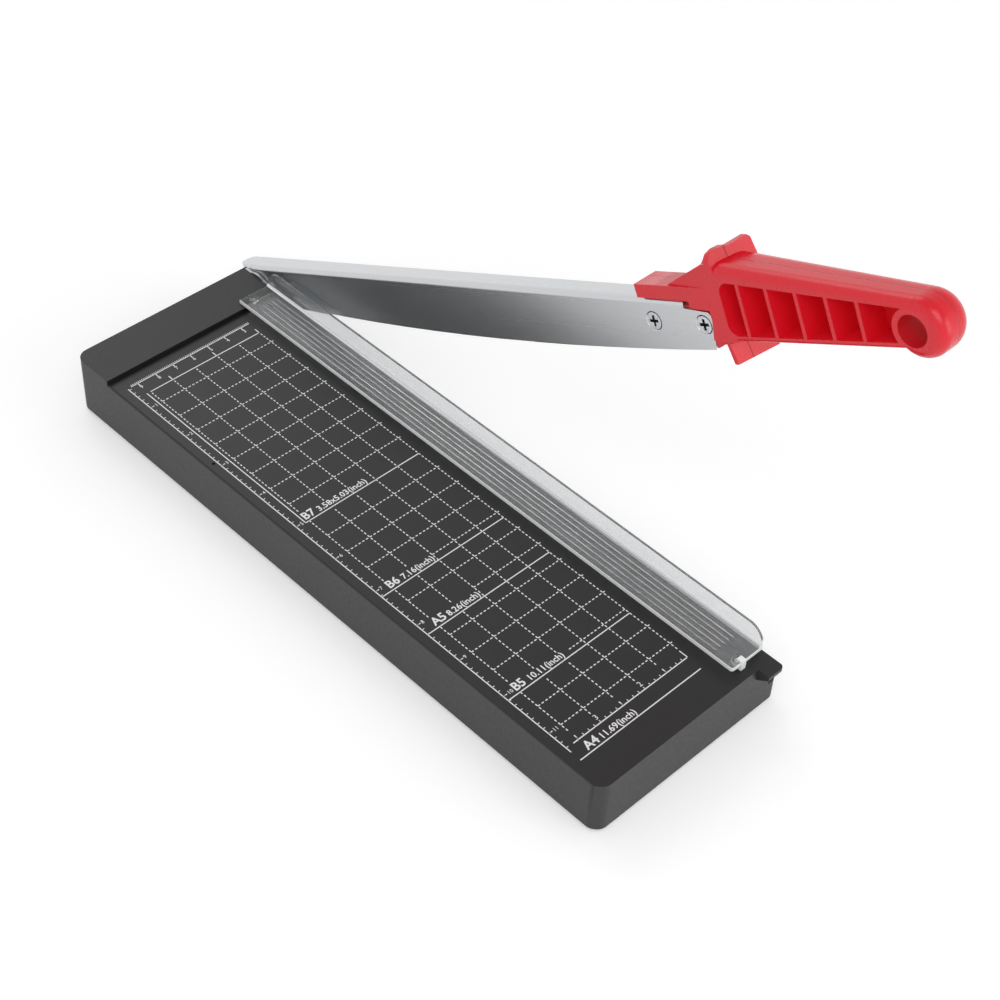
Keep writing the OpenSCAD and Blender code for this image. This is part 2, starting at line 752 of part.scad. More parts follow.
// Outline of the recess in the grip's face, with two round front corners
module recess_outline() {
    slope_up = 0.71 * (crest_end_h - crest_h) / (grip_end_u - grip_front);
    slope_low = tan(belly_lean);
    u_1 = recess_front + recess_r;
    top = function(u) crest_h - brow_w + slope_up * (u - grip_front);
    low = function(u) rim_w - belly_drop + slope_low * (u - grip_front);
    difference() {
        polygon([[u_1, low(u_1)], [recess_back, low(recess_back)],
            [recess_back, top(recess_back)], [u_1, top(u_1)]]);
        translate([hang_u, hang_v]) circle(hang_r + boss_t);
    }
    intersection() {
        translate([recess_front, low(u_1)]) square([recess_r, top(u_1) - low(u_1)]);
        union() {
            translate([recess_front, low(u_1) + recess_r])
                square([recess_r, top(u_1) - low(u_1) - 2 * recess_r]);
            for (v = [low(u_1) + recess_r, top(u_1) - recess_r])
                translate([u_1, v]) circle(recess_r);
        }
    }
}

// Section beside one long edge of the grip, rounded at the corner and wide open away from it
module edge_section(r) {
    deep = 2 * hand_guard_h;
    translate([r, -deep]) square([2 * handle_w, deep]);
    translate([0, -deep]) square([2 * handle_w, deep - r]);
    translate([r, -r]) circle(r);
}

// Bar along one long edge of the grip, from the place of that edge at the grip's front
module edge_bar(x, v, lean, turn) {
    translate([x, -grip_front, v]) rotate([lean, 0, 0]) rotate([0, 0, turn]) translate([0, grip_l, 0])
        rotate([90, 0, 0]) linear_extrude(2 * grip_l) children();
}

// The tapered grip between its four long edges, and its round end
module grip() {
    intersection() {
        across(handle_in, handle_out) translate([grip_front, -belly_drop])
            square([grip_end_u - grip_front, crest_h + belly_drop]);
        edge_bar(handle_in, crest_h, crest_lean, 0) edge_section(top_face_r);
        edge_bar(handle_out, crest_h, crest_lean, -back_lean) mirror([1, 0]) edge_section(top_back_r);
        edge_bar(handle_in, -belly_drop, -belly_lean, 0) mirror([0, 1]) edge_section(low_face_r);
        edge_bar(handle_out, -belly_drop, -belly_lean, -back_lean)
            mirror([1, 0]) mirror([0, 1]) edge_section(low_back_r);
    }
    translate([handle_in, -grip_end_u, grip_end_h]) rotate([0, 90, 0]) rotate_extrude() {
        square([grip_end_r - end_back_r, end_w]);
        translate([0, end_face_r]) square([grip_end_r, end_w - end_face_r - end_back_r]);
        square([grip_end_r - end_face_r, end_w - end_back_r]);
        translate([grip_end_r - end_face_r, end_face_r]) circle(end_face_r);
        intersection() {
            translate([grip_end_r - end_back_r, end_w - end_back_r]) circle(end_back_r);
            square([grip_end_r, end_w]);
        }
    }
}

// Slab across the handle that leans and turns like the hand guards, with its back at u and v on the face
module hand_slab(u, v, thick) {
    translate([handle_in, -u, v]) rotate([-hand_lean, 0, -hand_turn])
        translate([-handle_w, 0, -2 * hand_guard_h]) cube([3 * handle_w, thick, 4 * hand_guard_h]);
}

// The upper hand guard and the ramp in front of it
module hand_guard() {
    ramp_u = hand_guard_u - ramp_l;
    ramp_top = hand_guard_h - 4.3;
    cap_top = fold_h + cap_h;
    crease_v = crest_h - top_face_r - 1.2;
    intersection() {
        hand_slab(hand_guard_u, crease_v, hand_guard_t);
        translate([handle_in, -ramp_u, 0]) rotate([90, 0, 0]) linear_extrude(2 * ramp_l)
            polygon([[0, step_v], [0, hand_guard_h - 3], [2, hand_guard_h - 1], [5, hand_guard_h],
                [8.5, hand_guard_h], [10.5, hand_guard_h - 0.8], [handle_w - 1.4, hand_guard_h - 0.2],
                [handle_w - 0.3, hand_guard_h - 1.4], [handle_w, hand_guard_h - 9], [handle_w, step_v]]);
    }
    intersection() {
        hand_slab(hand_guard_u - 0.5, crease_v, 2 * ramp_l);
        across(handle_in, handle_out) polygon([[ramp_u, cap_top - 2], [ramp_u, cap_top],
            [hand_guard_u - 5.6, ramp_top], [hand_guard_u + 5, ramp_top], [hand_guard_u + 5, step_v + 1],
            [grip_front, step_v + 1]]);
        linear_extrude(hand_guard_h) polygon([[handle_in + ramp_step, -ramp_u], [handle_out, -ramp_u],
            [handle_out, -hand_guard_u - 5], [handle_in, -hand_guard_u - 5], [handle_in, -grip_front]]);
    }
}

// The thin hand guard below the grip
module hand_fin() {
    intersection() {
        hand_slab(nose_u - 0.3, -fin_drop, hand_fin_t);
        across(arm_in, handle_out) translate([plate_l, -fin_drop])
            square([2 * (nose_u - plate_l), fin_drop + step_v]);
    }
}

// Cap over the fold and the nose behind the end of the plate
module cap_and_nose() {
    cap_low = fold_h + face_gap;
    cap_u = plate_l - cap_l;
    end_u = plate_l + 1.5;
    end_low_u = end_u - end_lean * (step_v - 3.5 + belly_drop);
    across(handle_in, cap_out) polygon([[cap_u, cap_low + 0.4], [cap_u, fold_h + cap_h],
        [nose_u, fold_h + cap_h], [nose_u, step_v], [flange_end + 4.5, step_v + 1],
        [flange_end + 4.5, cap_low]]);
    across(handle_in, handle_out) polygon([[end_u, step_v + 1], [end_u, step_v - 3.5],
        [end_low_u, -belly_drop], [nose_u + 4, -belly_drop], [nose_u + 4, step_v + 1]]);
    across(arm_in, handle_out) polygon([[end_low_u, -belly_drop], [end_u - 2.6, -belly_drop - 3.6],
        [end_u - 1.4, -belly_drop - 3.6], [end_u + 2.2, -belly_drop - 1.9], [nose_u, -belly_drop - 1.4],
        [nose_u, -belly_drop]]);
}

module handle() {
    color("#d2323c") on_arm() difference() {
        union() {
            grip();
            hand_guard();
            hand_fin();
            cap_and_nose();
            across(arm_out + seat_gap, tang_out) translate([plate_l - cap_l, -belly_drop - 1])
                square([cap_l + 10, bend_v - face_gap + belly_drop + 1]);
        }
        difference() {
            across(handle_in - cut, handle_in + recess_depth) recess_outline();
            for (i = [0 : grip_ribs - 1])
                translate([handle_in, -rib_first - i * grip_rib_pitch - grip_rib_t / 2, -2 * belly_drop])
                    cube([handle_w, grip_rib_t, hand_guard_h + 2 * belly_drop]);
        }
        translate([0, -hang_u, hang_v]) rod(handle_in - cut, handle_out + cut, hang_r);
        for (u = [screw_1, screw_2])
            translate([0, -u, 0]) {
                rod(arm_out - cut, tang_out + cut, handle_screw_d / 2 + seat_gap);
                hexagon(tang_out - handle_nut_t, tang_out + cut, handle_nut_af + 2 * seat_gap);
            }
    }
}

// One countersunk screw that holds the plate to the handle
module handle_screw(u) {
    color("#d5d7da") on_arm() translate([0, -u, 0]) difference() {
        handle_screw_form();
        translate([arm_in - arm_t, 0, 0]) cross_recess(0, 0.94 * arm_t, handle_head_d * 0.62);
    }
}

module handle_screw_front() handle_screw(screw_1);
module handle_screw_rear() handle_screw(screw_2);

// One nut in its pocket in the tang
module handle_nut(u) {
    color("#a5a7aa") on_arm() translate([0, -u, 0]) difference() {
        hexagon(tang_out - handle_nut_t, tang_out, handle_nut_af);
        rod(tang_out - handle_nut_t - cut, tang_out + cut, handle_screw_d / 2 + seat_gap);
    }
}

module handle_nut_front() handle_nut(screw_1);
module handle_nut_rear() handle_nut(screw_2);

base_shell();
foot_near_left();
foot_near_right();
foot_far_left();
foot_far_right();
lower_blade();
lower_blade_screws();
guard();
guard_screws();
pivot_bolt();
pivot_head_washer();
pivot_inner_washer();
pivot_disc_spring();
pivot_lock_nut();
pivot_bush();
blade_arm();
handle();
handle_screw_front();
handle_screw_rear();
handle_nut_front();
handle_nut_rear();
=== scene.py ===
"""Dresses a small guillotine paper trimmer: printed black base, clear guard, steel arm and red handle."""
import json
import logging
import math
from dataclasses import dataclass, field
from enum import Enum
from typing import Any, Callable, Sequence

import bmesh
import bpy
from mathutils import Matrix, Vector

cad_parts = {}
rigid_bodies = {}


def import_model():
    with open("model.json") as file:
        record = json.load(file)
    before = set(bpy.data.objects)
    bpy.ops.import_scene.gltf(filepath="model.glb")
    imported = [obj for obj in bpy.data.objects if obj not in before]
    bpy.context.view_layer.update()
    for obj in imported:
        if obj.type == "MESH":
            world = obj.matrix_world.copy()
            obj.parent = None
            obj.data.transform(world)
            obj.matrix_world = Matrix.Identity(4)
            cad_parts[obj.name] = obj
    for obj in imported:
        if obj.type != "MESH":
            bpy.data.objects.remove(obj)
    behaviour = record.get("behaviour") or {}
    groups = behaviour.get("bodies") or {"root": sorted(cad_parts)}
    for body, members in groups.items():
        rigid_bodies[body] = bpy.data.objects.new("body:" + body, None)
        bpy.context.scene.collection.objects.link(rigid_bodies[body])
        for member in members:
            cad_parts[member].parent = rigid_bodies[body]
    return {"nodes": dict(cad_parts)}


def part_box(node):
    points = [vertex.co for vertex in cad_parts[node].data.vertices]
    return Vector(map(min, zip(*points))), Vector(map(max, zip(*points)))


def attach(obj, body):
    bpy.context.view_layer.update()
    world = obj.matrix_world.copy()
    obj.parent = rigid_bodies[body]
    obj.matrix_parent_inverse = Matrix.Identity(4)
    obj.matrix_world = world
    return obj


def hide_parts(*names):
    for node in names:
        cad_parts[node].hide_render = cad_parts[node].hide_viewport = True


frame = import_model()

logging.basicConfig(level=logging.INFO, format="%(name)s: %(message)s")
LOG = logging.getLogger("trimmer")
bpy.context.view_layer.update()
MM = 0.001
# The arm's angle above the bed at rest
REST_ANGLE = math.radians(28.2)
FENCE_HEIGHT_MM = 2.2
# Edges sharper than this are rounded
SHARP_ANGLE = math.radians(28)
# Faces that turn less than this are shaded as one
SMOOTH_ANGLE = math.radians(32)
# Faces that turn less than this are merged
FLAT_ANGLE = math.radians(0.4)
# Distances that count as the same place, as a sliver, as near and as room to spare
MERGE = 0.002 * MM
SLIVER = 0.005 * MM
NEAR = 0.01 * MM
ROOM = 0.1 * MM
# The span that a noise pattern mostly keeps to, and the narrower span of draw lines
PATTERN_ENDS = 0.3, 0.7
LINE_ENDS = 0.35, 0.65
# The height of a capital letter as a share of the font's size
CAPITAL_SHARE = 0.7
# Half-inch rows of the grid. The line of the smallest paper size takes the place of row 10
GRID_ROWS = [row for row in range(2, 23) if row != 10]
# Rows that start after a paper size's name, and where they start
LATE_ROWS = {14: 25.4, 16: 25.4, 20: 30.5}


class Body(Enum):
    """The frame's bodies."""

    BASE = "base"
    ARM = "arm"


class Kind(Enum):
    """What is selected in edit mode."""

    CORNER = "VERT"
    EDGE = "EDGE"


class Slot(Enum):
    """The record's material slots."""

    BASE_PLASTIC = "base_plastic"
    HANDLE_PLASTIC = "handle_plastic"
    CLEAR_PLASTIC = "clear_plastic"
    BLADE_STEEL = "blade_steel"
    KNIFE_STEEL = "knife_steel"
    SPRING_STEEL = "spring_steel"
    ZINC_STEEL = "zinc_steel"
    BUSH_BRASS = "bush_brass"
    FOOT_RUBBER = "foot_rubber"


def linear(code: str) -> tuple[float, float, float, float]:
    """Turns an sRGB hex value into a linear colour.

    Args:
        code: A hash and six hex digits.

    Returns:
        Linear red, green and blue, and an alpha of 1.
    """
    parts = [int(code[i:i + 2], 16) / 255 for i in (1, 3, 5)]
    red, green, blue = [p / 12.92 if p <= 0.04045 else ((p + 0.055) / 1.055) ** 2.4 for p in parts]
    return red, green, blue, 1.0


def add(tree: bpy.types.NodeTree, kind: str, settings: dict[str, Any],
        inputs: dict[str | int, Any]) -> bpy.types.Node:
    """Adds a node with its settings, values and links.

    Args:
        tree: The node tree that gets the node.
        kind: The node's type.
        settings: The node's properties.
        inputs: A value or an output socket for each named or numbered input.

    Returns:
        The new node.
    """
    node = tree.nodes.new(kind)
    for name, value in settings.items():
        setattr(node, name, value)
    for key, value in inputs.items():
        if isinstance(value, bpy.types.NodeSocket):
            tree.links.new(value, node.inputs[key])
        else:
            node.inputs[key].default_value = value
    return node


def on_object(tree: bpy.types.NodeTree) -> bpy.types.NodeSocket:
    """Returns the place on the object."""
    return add(tree, "ShaderNodeTexCoord", {}, {}).outputs["Object"]


def maths(tree: bpy.types.NodeTree, operation: str, *values: Any) -> bpy.types.NodeSocket:
    """Returns the result of an operation on values or sockets."""
    return add(tree, "ShaderNodeMath", {"operation": operation}, dict(enumerate(values))).outputs[0]


def noise(tree: bpy.types.NodeTree, place: bpy.types.NodeSocket, scale: float, detail: float,
          rough: float = 0.5) -> bpy.types.NodeSocket:
    """Adds a noise pattern.

    Args:
        tree: The node tree that gets the pattern.
        place: The place that the pattern is laid on.
        scale: How many specks there are in a unit of the place.
        detail: How many finer layers there are.
        rough: How strong the finer layers are.

    Returns:
        The pattern.
    """
    return add(tree, "ShaderNodeTexNoise", {}, {
        "Vector": place, "Scale": scale, "Detail": detail, "Roughness": rough}).outputs["Fac"]


def stretched(tree: bpy.types.NodeTree, wide_mm: float, run_mm: float,
              turn: float = 0.0) -> bpy.types.NodeSocket:
    """Returns the place on the object for a pattern that runs lengthwise.

    Args:
        tree: The node tree.
        wide_mm: The pattern's width.
        run_mm: The pattern's run along the object.
        turn: How far the run is tilted, in radians.

    Returns:
        The place, in units of the pattern.
    """
    return add(tree, "ShaderNodeMapping", {"vector_type": "TEXTURE"}, {
        "Vector": on_object(tree), "Rotation": (turn, 0.0, 0.0),
        "Scale": (wide_mm * MM, run_mm * MM, wide_mm * MM)}).outputs["Vector"]


def ramp(tree: bpy.types.NodeTree, value: bpy.types.NodeSocket, ends: tuple[float, float],
         results: tuple[Any, Any], kind: str = "LINEAR") -> bpy.types.NodeSocket:
    """Maps a value to a range.

    Args:
        tree: The node tree.
        value: The value to map.
        ends: The value's ends.
        results: What the two ends become, as values or sockets.
        kind: How the range is crossed.

    Returns:
        The mapped value.
    """
    return add(tree, "ShaderNodeMapRange", {"interpolation_type": kind}, {
        "Value": value, "From Min": ends[0], "From Max": ends[1], "To Min": results[0],
        "To Max": results[1]}).outputs["Result"]


def blend(tree: bpy.types.NodeTree, share: bpy.types.NodeSocket, first: Any, second: Any,
          kind: str = "MIX") -> bpy.types.NodeSocket:
    """Mixes two colours.

    Args:
        tree: The node tree.
        share: The second colour's share.
        first: The first colour.
        second: The second colour.
        kind: How they are mixed.

    Returns:
        The mixed colour.
    """
    return add(tree, "ShaderNodeMix", {"data_type": "RGBA", "blend_type": kind}, {
        0: share, 6: first, 7: second}).outputs[2]


@dataclass(frozen=True)
class Finish:
    """A surface by its material and process, with the values that are the same all over."""

    name: str
    slot: Slot
    colour: str
    roughness: float
    metallic: float = 0.0
    ior: float = 1.5

    def material(self) -> bpy.types.Material:
        """Makes the material on its first use.

        Returns:
            The finish's material.
        """
        made = bpy.data.materials.get(self.name)
        if made is None:
            made = bpy.data.materials.new(self.name)
            made.use_nodes = True
            shader = made.node_tree.nodes["Principled BSDF"]
            shader.inputs["Base Color"].default_value = linear(self.colour)
            shader.inputs["Roughness"].default_value = self.roughness
            shader.inputs["Metallic"].default_value = self.metallic
            shader.inputs["IOR"].default_value = self.ior
            self.surface(made.node_tree, shader)
        return made

    def surface(self, tree: bpy.types.NodeTree, shader: bpy.types.Node) -> None:
        """Adds the pattern that the process leaves.

        Args:
            tree: The material's node tree.
            shader: The material's shader.
        """
        raise NotImplementedError

    def relieve(self, tree: bpy.types.NodeTree, shader: bpy.types.Node, rough: bpy.types.NodeSocket,
                height: bpy.types.NodeSocket, depth_mm: float) -> None:
        """Gives the shader its uneven gloss and its relief.

        Args:
            tree: The material's node tree.
            shader: The material's shader.
            rough: The roughness.
            height: The relief's pattern.
            depth_mm: The relief's depth.
        """
        tree.links.new(rough, shader.inputs["Roughness"])
        normal = add(tree, "ShaderNodeBump", {}, {
            "Height": height, "Strength": 1.0, "Distance": depth_mm * MM}).outputs["Normal"]
        tree.links.new(normal, shader.inputs["Normal"])


@dataclass(frozen=True)
class MouldedPlastic(Finish):
    """Injection-moulded plastic: a grained skin with faint clouds from the flow, and a parting line."""

    cloud: str = "#000000"
    cloud_mm: float = 30.0
    grain_mm: float = 0.9
    grain_depth_mm: float = 0.02
    rough_swing: float = 0.05
    parting_x: float = 10.0
    parting_mm: float = 0.3
    parting_depth_mm: float = 0.08
    parting_shade: str = "#b0b0b0"

    def surface(self, tree: bpy.types.NodeTree, shader: bpy.types.Node) -> None:
        """Adds flow clouds, grain and the parting line.

        Args:
            tree: The material's node tree.
            shader: The material's shader.
        """
        place = on_object(tree)
        clouds = noise(tree, place, 1 / (self.cloud_mm * MM), 3.0)
        skin = blend(tree, clouds, linear(self.colour), linear(self.cloud))
        grain = noise(tree, place, 1 / (self.grain_mm * MM), 2.0, 0.6)
        rough = ramp(tree, grain, PATTERN_ENDS, (
            self.roughness - self.rough_swing, self.roughness + self.rough_swing))
        across = add(tree, "ShaderNodeSeparateXYZ", {}, {"Vector": place}).outputs["X"]
        away = maths(tree, "ABSOLUTE", maths(tree, "SUBTRACT", across, self.parting_x))
        # The parting line is 0.1 mm wide on the part and drawn wider, so that it shows
        line = ramp(tree, away, (0.0, self.parting_mm * MM), (1.0, 0.0), "SMOOTHSTEP")
        colour = blend(tree, line, skin, linear(self.parting_shade), "MULTIPLY")
        tree.links.new(colour, shader.inputs["Base Color"])
        height = maths(tree, "MULTIPLY_ADD", line, -self.parting_depth_mm / self.grain_depth_mm, grain)
        self.relieve(tree, shader, rough, height, self.grain_depth_mm)


@dataclass(frozen=True)
class ExtrudedClear(Finish):
    """Clear extruded plastic: a hazy see-through body, with fine draw lines along its length."""

    clear: float = 0.8
    line_mm: float = 0.7
    run_mm: float = 90.0
    line_depth_mm: float = 0.01

    def surface(self, tree: bpy.types.NodeTree, shader: bpy.types.Node) -> None:
        """Adds the draw lines.

        Args:
            tree: The material's node tree.
            shader: The material's shader.
        """
        shader.inputs["Transmission Weight"].default_value = self.clear
        lines = noise(tree, stretched(tree, self.line_mm, self.run_mm), 1.0, 2.0)
        rough = ramp(tree, lines, LINE_ENDS, (0.5 * self.roughness, 1.5 * self.roughness))
        self.relieve(tree, shader, rough, lines, self.line_depth_mm)


@dataclass(frozen=True)
class BrushedSteel(Finish):
    """Steel that a belt has brushed along its length: long fine scratches with dull and bright bands."""

    tone: str = "#8a8c8f"
    turn: float = 0.0
    scratch_mm: float = 0.35
    run_mm: float = 220.0
    scratch_depth_mm: float = 0.0005
    rough_swing: float = 0.008

    def surface(self, tree: bpy.types.NodeTree, shader: bpy.types.Node) -> None:
        """Adds the scratches and the bands.

        Args:
            tree: The material's node tree.
            shader: The material's shader.
        """
        # The belt's grit leaves scratches of about 0.1 mm, drawn coarser so that they show
        brushed = stretched(tree, self.scratch_mm, self.run_mm, self.turn)
        scratches = noise(tree, brushed, 1.0, 4.0, 0.7)
        bands = noise(tree, brushed, 0.12, 2.0)
        colour = blend(tree, scratches, linear(self.tone), linear(self.colour))
        tree.links.new(colour, shader.inputs["Base Color"])
        rough = ramp(tree, bands, PATTERN_ENDS, (
            self.roughness - self.rough_swing, self.roughness + self.rough_swing))
        self.relieve(tree, shader, rough, scratches, self.scratch_depth_mm)


@dataclass(frozen=True)
class SpeckledSkin(Finish):
    """A plated, sintered, printed or rubbery skin: fine specks in colour, gloss and height."""

    speck: str = "#808080"
    speck_mm: float = 0.8
    speck_depth_mm: float = 0.01
    rough_swing: float = 0.08

    def surface(self, tree: bpy.types.NodeTree, shader: bpy.types.Node) -> None:
        """Adds the specks.

        Args:
            tree: The material's node tree.
            shader: The material's shader.
        """
        specks = noise(tree, on_object(tree), 1 / (self.speck_mm * MM), 3.0)
        colour = blend(tree, specks, linear(self.speck), linear(self.colour))
        tree.links.new(colour, shader.inputs["Base Color"])
        rough = ramp(tree, specks, PATTERN_ENDS, (
            self.roughness + self.rough_swing, self.roughness - self.rough_swing))
        self.relieve(tree, shader, rough, specks, self.speck_depth_mm)


# Black ABS from a spark-eroded mould: deep black, with a fine grain that spreads the gloss
BLACK_ABS = MouldedPlastic("abs_black_spark_eroded", Slot.BASE_PLASTIC, "#0e0e0f", 0.42, ior=1.54,
                           cloud="#141415", cloud_mm=45.0, grain_mm=0.9, grain_depth_mm=0.012)
# Black ABS with a coarser grain, painted a lighter dull grey as painted light for the light that falls on
# the sides and the near end
LIT_SIDE_ABS = MouldedPlastic("abs_black_coarse_eroded", Slot.BASE_PLASTIC, "#262627", 0.5, ior=1.54,
                          cloud="#2c2c2d", cloud_mm=45.0, grain_mm=1.3, grain_depth_mm=0.03)
# Red ABS from a polished mould: saturated red with a soft sheen on the rounded edges
RED_ABS = MouldedPlastic("abs_red_moulded", Slot.HANDLE_PLASTIC, "#e00a20", 0.25, ior=1.52, cloud="#e81028",
                         cloud_mm=25.0, grain_mm=1.6, grain_depth_mm=0.004, rough_swing=0.03,
                         parting_x=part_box("handle")[0].x + 8.3 * MM)
# The same red ABS, matt and without highlights, painted brighter inside the ribbed recess: painted light
# that lifts the shade there
RED_LIT_RECESS = MouldedPlastic("abs_red_core_side", Slot.HANDLE_PLASTIC, "#f00c26", 0.6, ior=1.45,
                          cloud="#f4122c", cloud_mm=25.0, grain_mm=1.2, grain_depth_mm=0.01)
# The same red ABS, matt, painted a deep dark red inside the hanging hole as painted shade
RED_SHADED_HOLE = MouldedPlastic("abs_red_pin_side", Slot.HANDLE_PLASTIC, "#d2041a", 0.6, ior=1.45, cloud="#d8061e",
                         cloud_mm=25.0, grain_mm=1.2, grain_depth_mm=0.01)
# Clear polystyrene, extruded: see-through with a milky haze and draw lines
CLEAR_PS = ExtrudedClear("polystyrene_clear_extruded", Slot.CLEAR_PLASTIC, "#f4f6f7", 0.06, ior=1.59,
                         clear=0.93)
# Clear polystyrene where it is cut: frosted, and painted nearly white as painted light where the edges and
# the lug gather light, and as a painted highlight along the filled corner
SAWN_LIT_PS = ExtrudedClear("polystyrene_clear_sawn", Slot.CLEAR_PLASTIC, "#fafbfb", 0.4, ior=1.59, clear=0.0,
                        line_mm=0.5, run_mm=6.0)
# Cold-rolled steel, belt-brushed along the arm: grey with long scratches
ARM_STEEL = BrushedSteel("steel_belt_brushed", Slot.BLADE_STEEL, "#d0d2d4", 0.27, 1.0,
                         tone="#c4c6c9", turn=-REST_ANGLE)
# Hardened steel, surface-ground along the bed: brighter, with short scratches
KNIFE_STEEL = BrushedSteel("steel_surface_ground", Slot.KNIFE_STEEL, "#c6c8cb", 0.25, 1.0,
                           tone="#a4a6a9", scratch_mm=0.4, run_mm=25.0)
# Zinc-plated steel: bright and slightly cloudy
ZINC = SpeckledSkin("steel_zinc_plated", Slot.ZINC_STEEL, "#d9dbde", 0.24, 1.0,
                    speck="#b4b7bb", speck_mm=1.2)
# Zinc-plated steel painted nearly black in the screws' crosses: painted shade for the deep recess
SHADED_ZINC = SpeckledSkin("steel_zinc_plated_oiled", Slot.ZINC_STEEL, "#2b2b2c", 0.5, ior=1.47,
                          speck="#171718")
# Spring steel, oil-tempered: dark with a blue cast
SPRING = SpeckledSkin("steel_oil_tempered", Slot.SPRING_STEEL, "#6e747c", 0.32, 1.0, speck="#4c5159")
# Brass, sintered: yellow with fine dark pores
BRASS = SpeckledSkin("brass_sintered", Slot.BUSH_BRASS, "#c9a86a", 0.4, 1.0, speck="#8f7443", speck_mm=0.5)
# Rubber, moulded: dead black and dull
RUBBER = SpeckledSkin("rubber_moulded", Slot.FOOT_RUBBER, "#1d1d1d", 0.8, ior=1.52, speck="#131313",
                      speck_mm=0.6, speck_depth_mm=0.03)
# White ink, screen-printed: slightly grey where the ink is thin
WHITE_INK = SpeckledSkin("ink_white_screen_printed", Slot.BASE_PLASTIC, "#ffffff", 0.55, ior=1.5,
                         speck="#d9dad9", speck_mm=0.5, speck_depth_mm=0.004)


def middle(node: str) -> Vector:
    """Returns the middle of a CAD node's box."""
    low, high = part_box(node)
    return (low + high) / 2


def only(piece: bpy.types.Object) -> None:
    """Selects and activates one object alone."""
    bpy.ops.object.select_all(action="DESELECT")
    piece.select_set(True)
    bpy.context.view_layer.objects.active = piece


def choose(piece: bpy.types.Object, kind: Kind, test: Callable[[Any], bool]) -> None:
    """Opens a piece in edit mode and selects the corners or edges that pass a test.

    Args:
        piece: The piece to edit.
        kind: What is selected.
        test: Says whether a corner or an edge is selected.
    """
    only(piece)
    bpy.ops.object.mode_set(mode="EDIT")
    bpy.ops.mesh.select_mode(type=kind.value)
    bpy.ops.mesh.select_all(action="DESELECT")
    shape = bmesh.from_edit_mesh(piece.data)
    for part in shape.verts if kind is Kind.CORNER else shape.edges:
        if test(part):
            part.select_set(True)
    bmesh.update_edit_mesh(piece.data)


def copied(node: str, name: str) -> bpy.types.Object:
    """Copies a CAD node's mesh as a new piece and merges its loose triangles into whole faces.

    Args:
        node: The CAD node's name.
        name: The new piece's name.

    Returns:
        The new piece.
    """
    piece = bpy.data.objects.new(name, frame["nodes"][node].data.copy())
    bpy.context.scene.collection.objects.link(piece)
    only(piece)
    bpy.ops.mesh.customdata_custom_splitnormals_clear()
    bpy.ops.object.mode_set(mode="EDIT")
    bpy.ops.mesh.select_all(action="SELECT")
    bpy.ops.mesh.remove_doubles(threshold=MERGE)
    bpy.ops.mesh.dissolve_limited(angle_limit=FLAT_ANGLE)
    bpy.ops.object.mode_set(mode="OBJECT")
    return piece


def soften(piece: bpy.types.Object, width_mm: float, segments: int,
           test: Callable[[Vector], bool]) -> None:
    """Rounds the sharp outer edges that pass a test.

    Args:
        piece: The piece to round.
        width_mm: The bevel's width.
        segments: The bevel's segments.
        test: Says whether an end of an edge is in the place to round.
    """
    choose(piece, Kind.EDGE, lambda edge: len(edge.link_faces) == 2
           and edge.calc_face_angle_signed() > SHARP_ANGLE and all(test(vert.co) for vert in edge.verts))
    bpy.ops.mesh.bevel(offset=width_mm * MM, segments=segments, affect="EDGES", clamp_overlap=True)
    # A clamped bevel leaves slivers without area, which would shade as specks
    bpy.ops.mesh.select_all(action="SELECT")
    bpy.ops.mesh.dissolve_degenerate(threshold=SLIVER)
    bpy.ops.object.mode_set(mode="OBJECT")


def polish(piece: bpy.types.Object) -> None:
    """Shades a piece smoothly up to an angle and keeps its large faces flat."""
    only(piece)
    bpy.ops.object.shade_smooth_by_angle(angle=SMOOTH_ANGLE)
    bpy.ops.object.modifier_add(type="WEIGHTED_NORMAL")
    piece.modifiers[-1].keep_sharp = True
    bpy.ops.object.modifier_apply(modifier=piece.modifiers[-1].name)


def dress(node: str, finish: Finish) -> None:
    """Gives a CAD node its finish."""
    slots = frame["nodes"][node].data.materials
    slots.clear()
    slots.append(finish.material())
    LOG.info("%s: %s", node, finish.name)


def settle(piece: bpy.types.Object, body: Body, finish: Finish, nodes: Sequence[str] = ()) -> None:
    """Dresses a finished piece and hands it to the frame.

    Args:
        piece: The finished piece.
        body: The body that it rides on.
        finish: Its finish.
        nodes: The CAD nodes that it stands for.
    """
    piece.data.materials.clear()
    piece.data.materials.append(finish.material())
    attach(piece, body.value)
    if nodes:
        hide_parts(*nodes)
    LOG.info("%s: %s, %d faces", piece.name, finish.name, len(piece.data.polygons))


def mark(piece: bpy.types.Object, finish: Finish, test: Callable[[Vector, Vector], bool]) -> None:
    """Gives some faces of a dressed piece a further finish.

    Args:
        piece: The piece.
        finish: The further finish.
        test: Says from a face's middle and normal whether it gets the finish.
    """
    piece.data.materials.append(finish.material())
    for face in piece.data.polygons:
        if test(face.center, face.normal):
            face.material_index = len(piece.data.materials) - 1


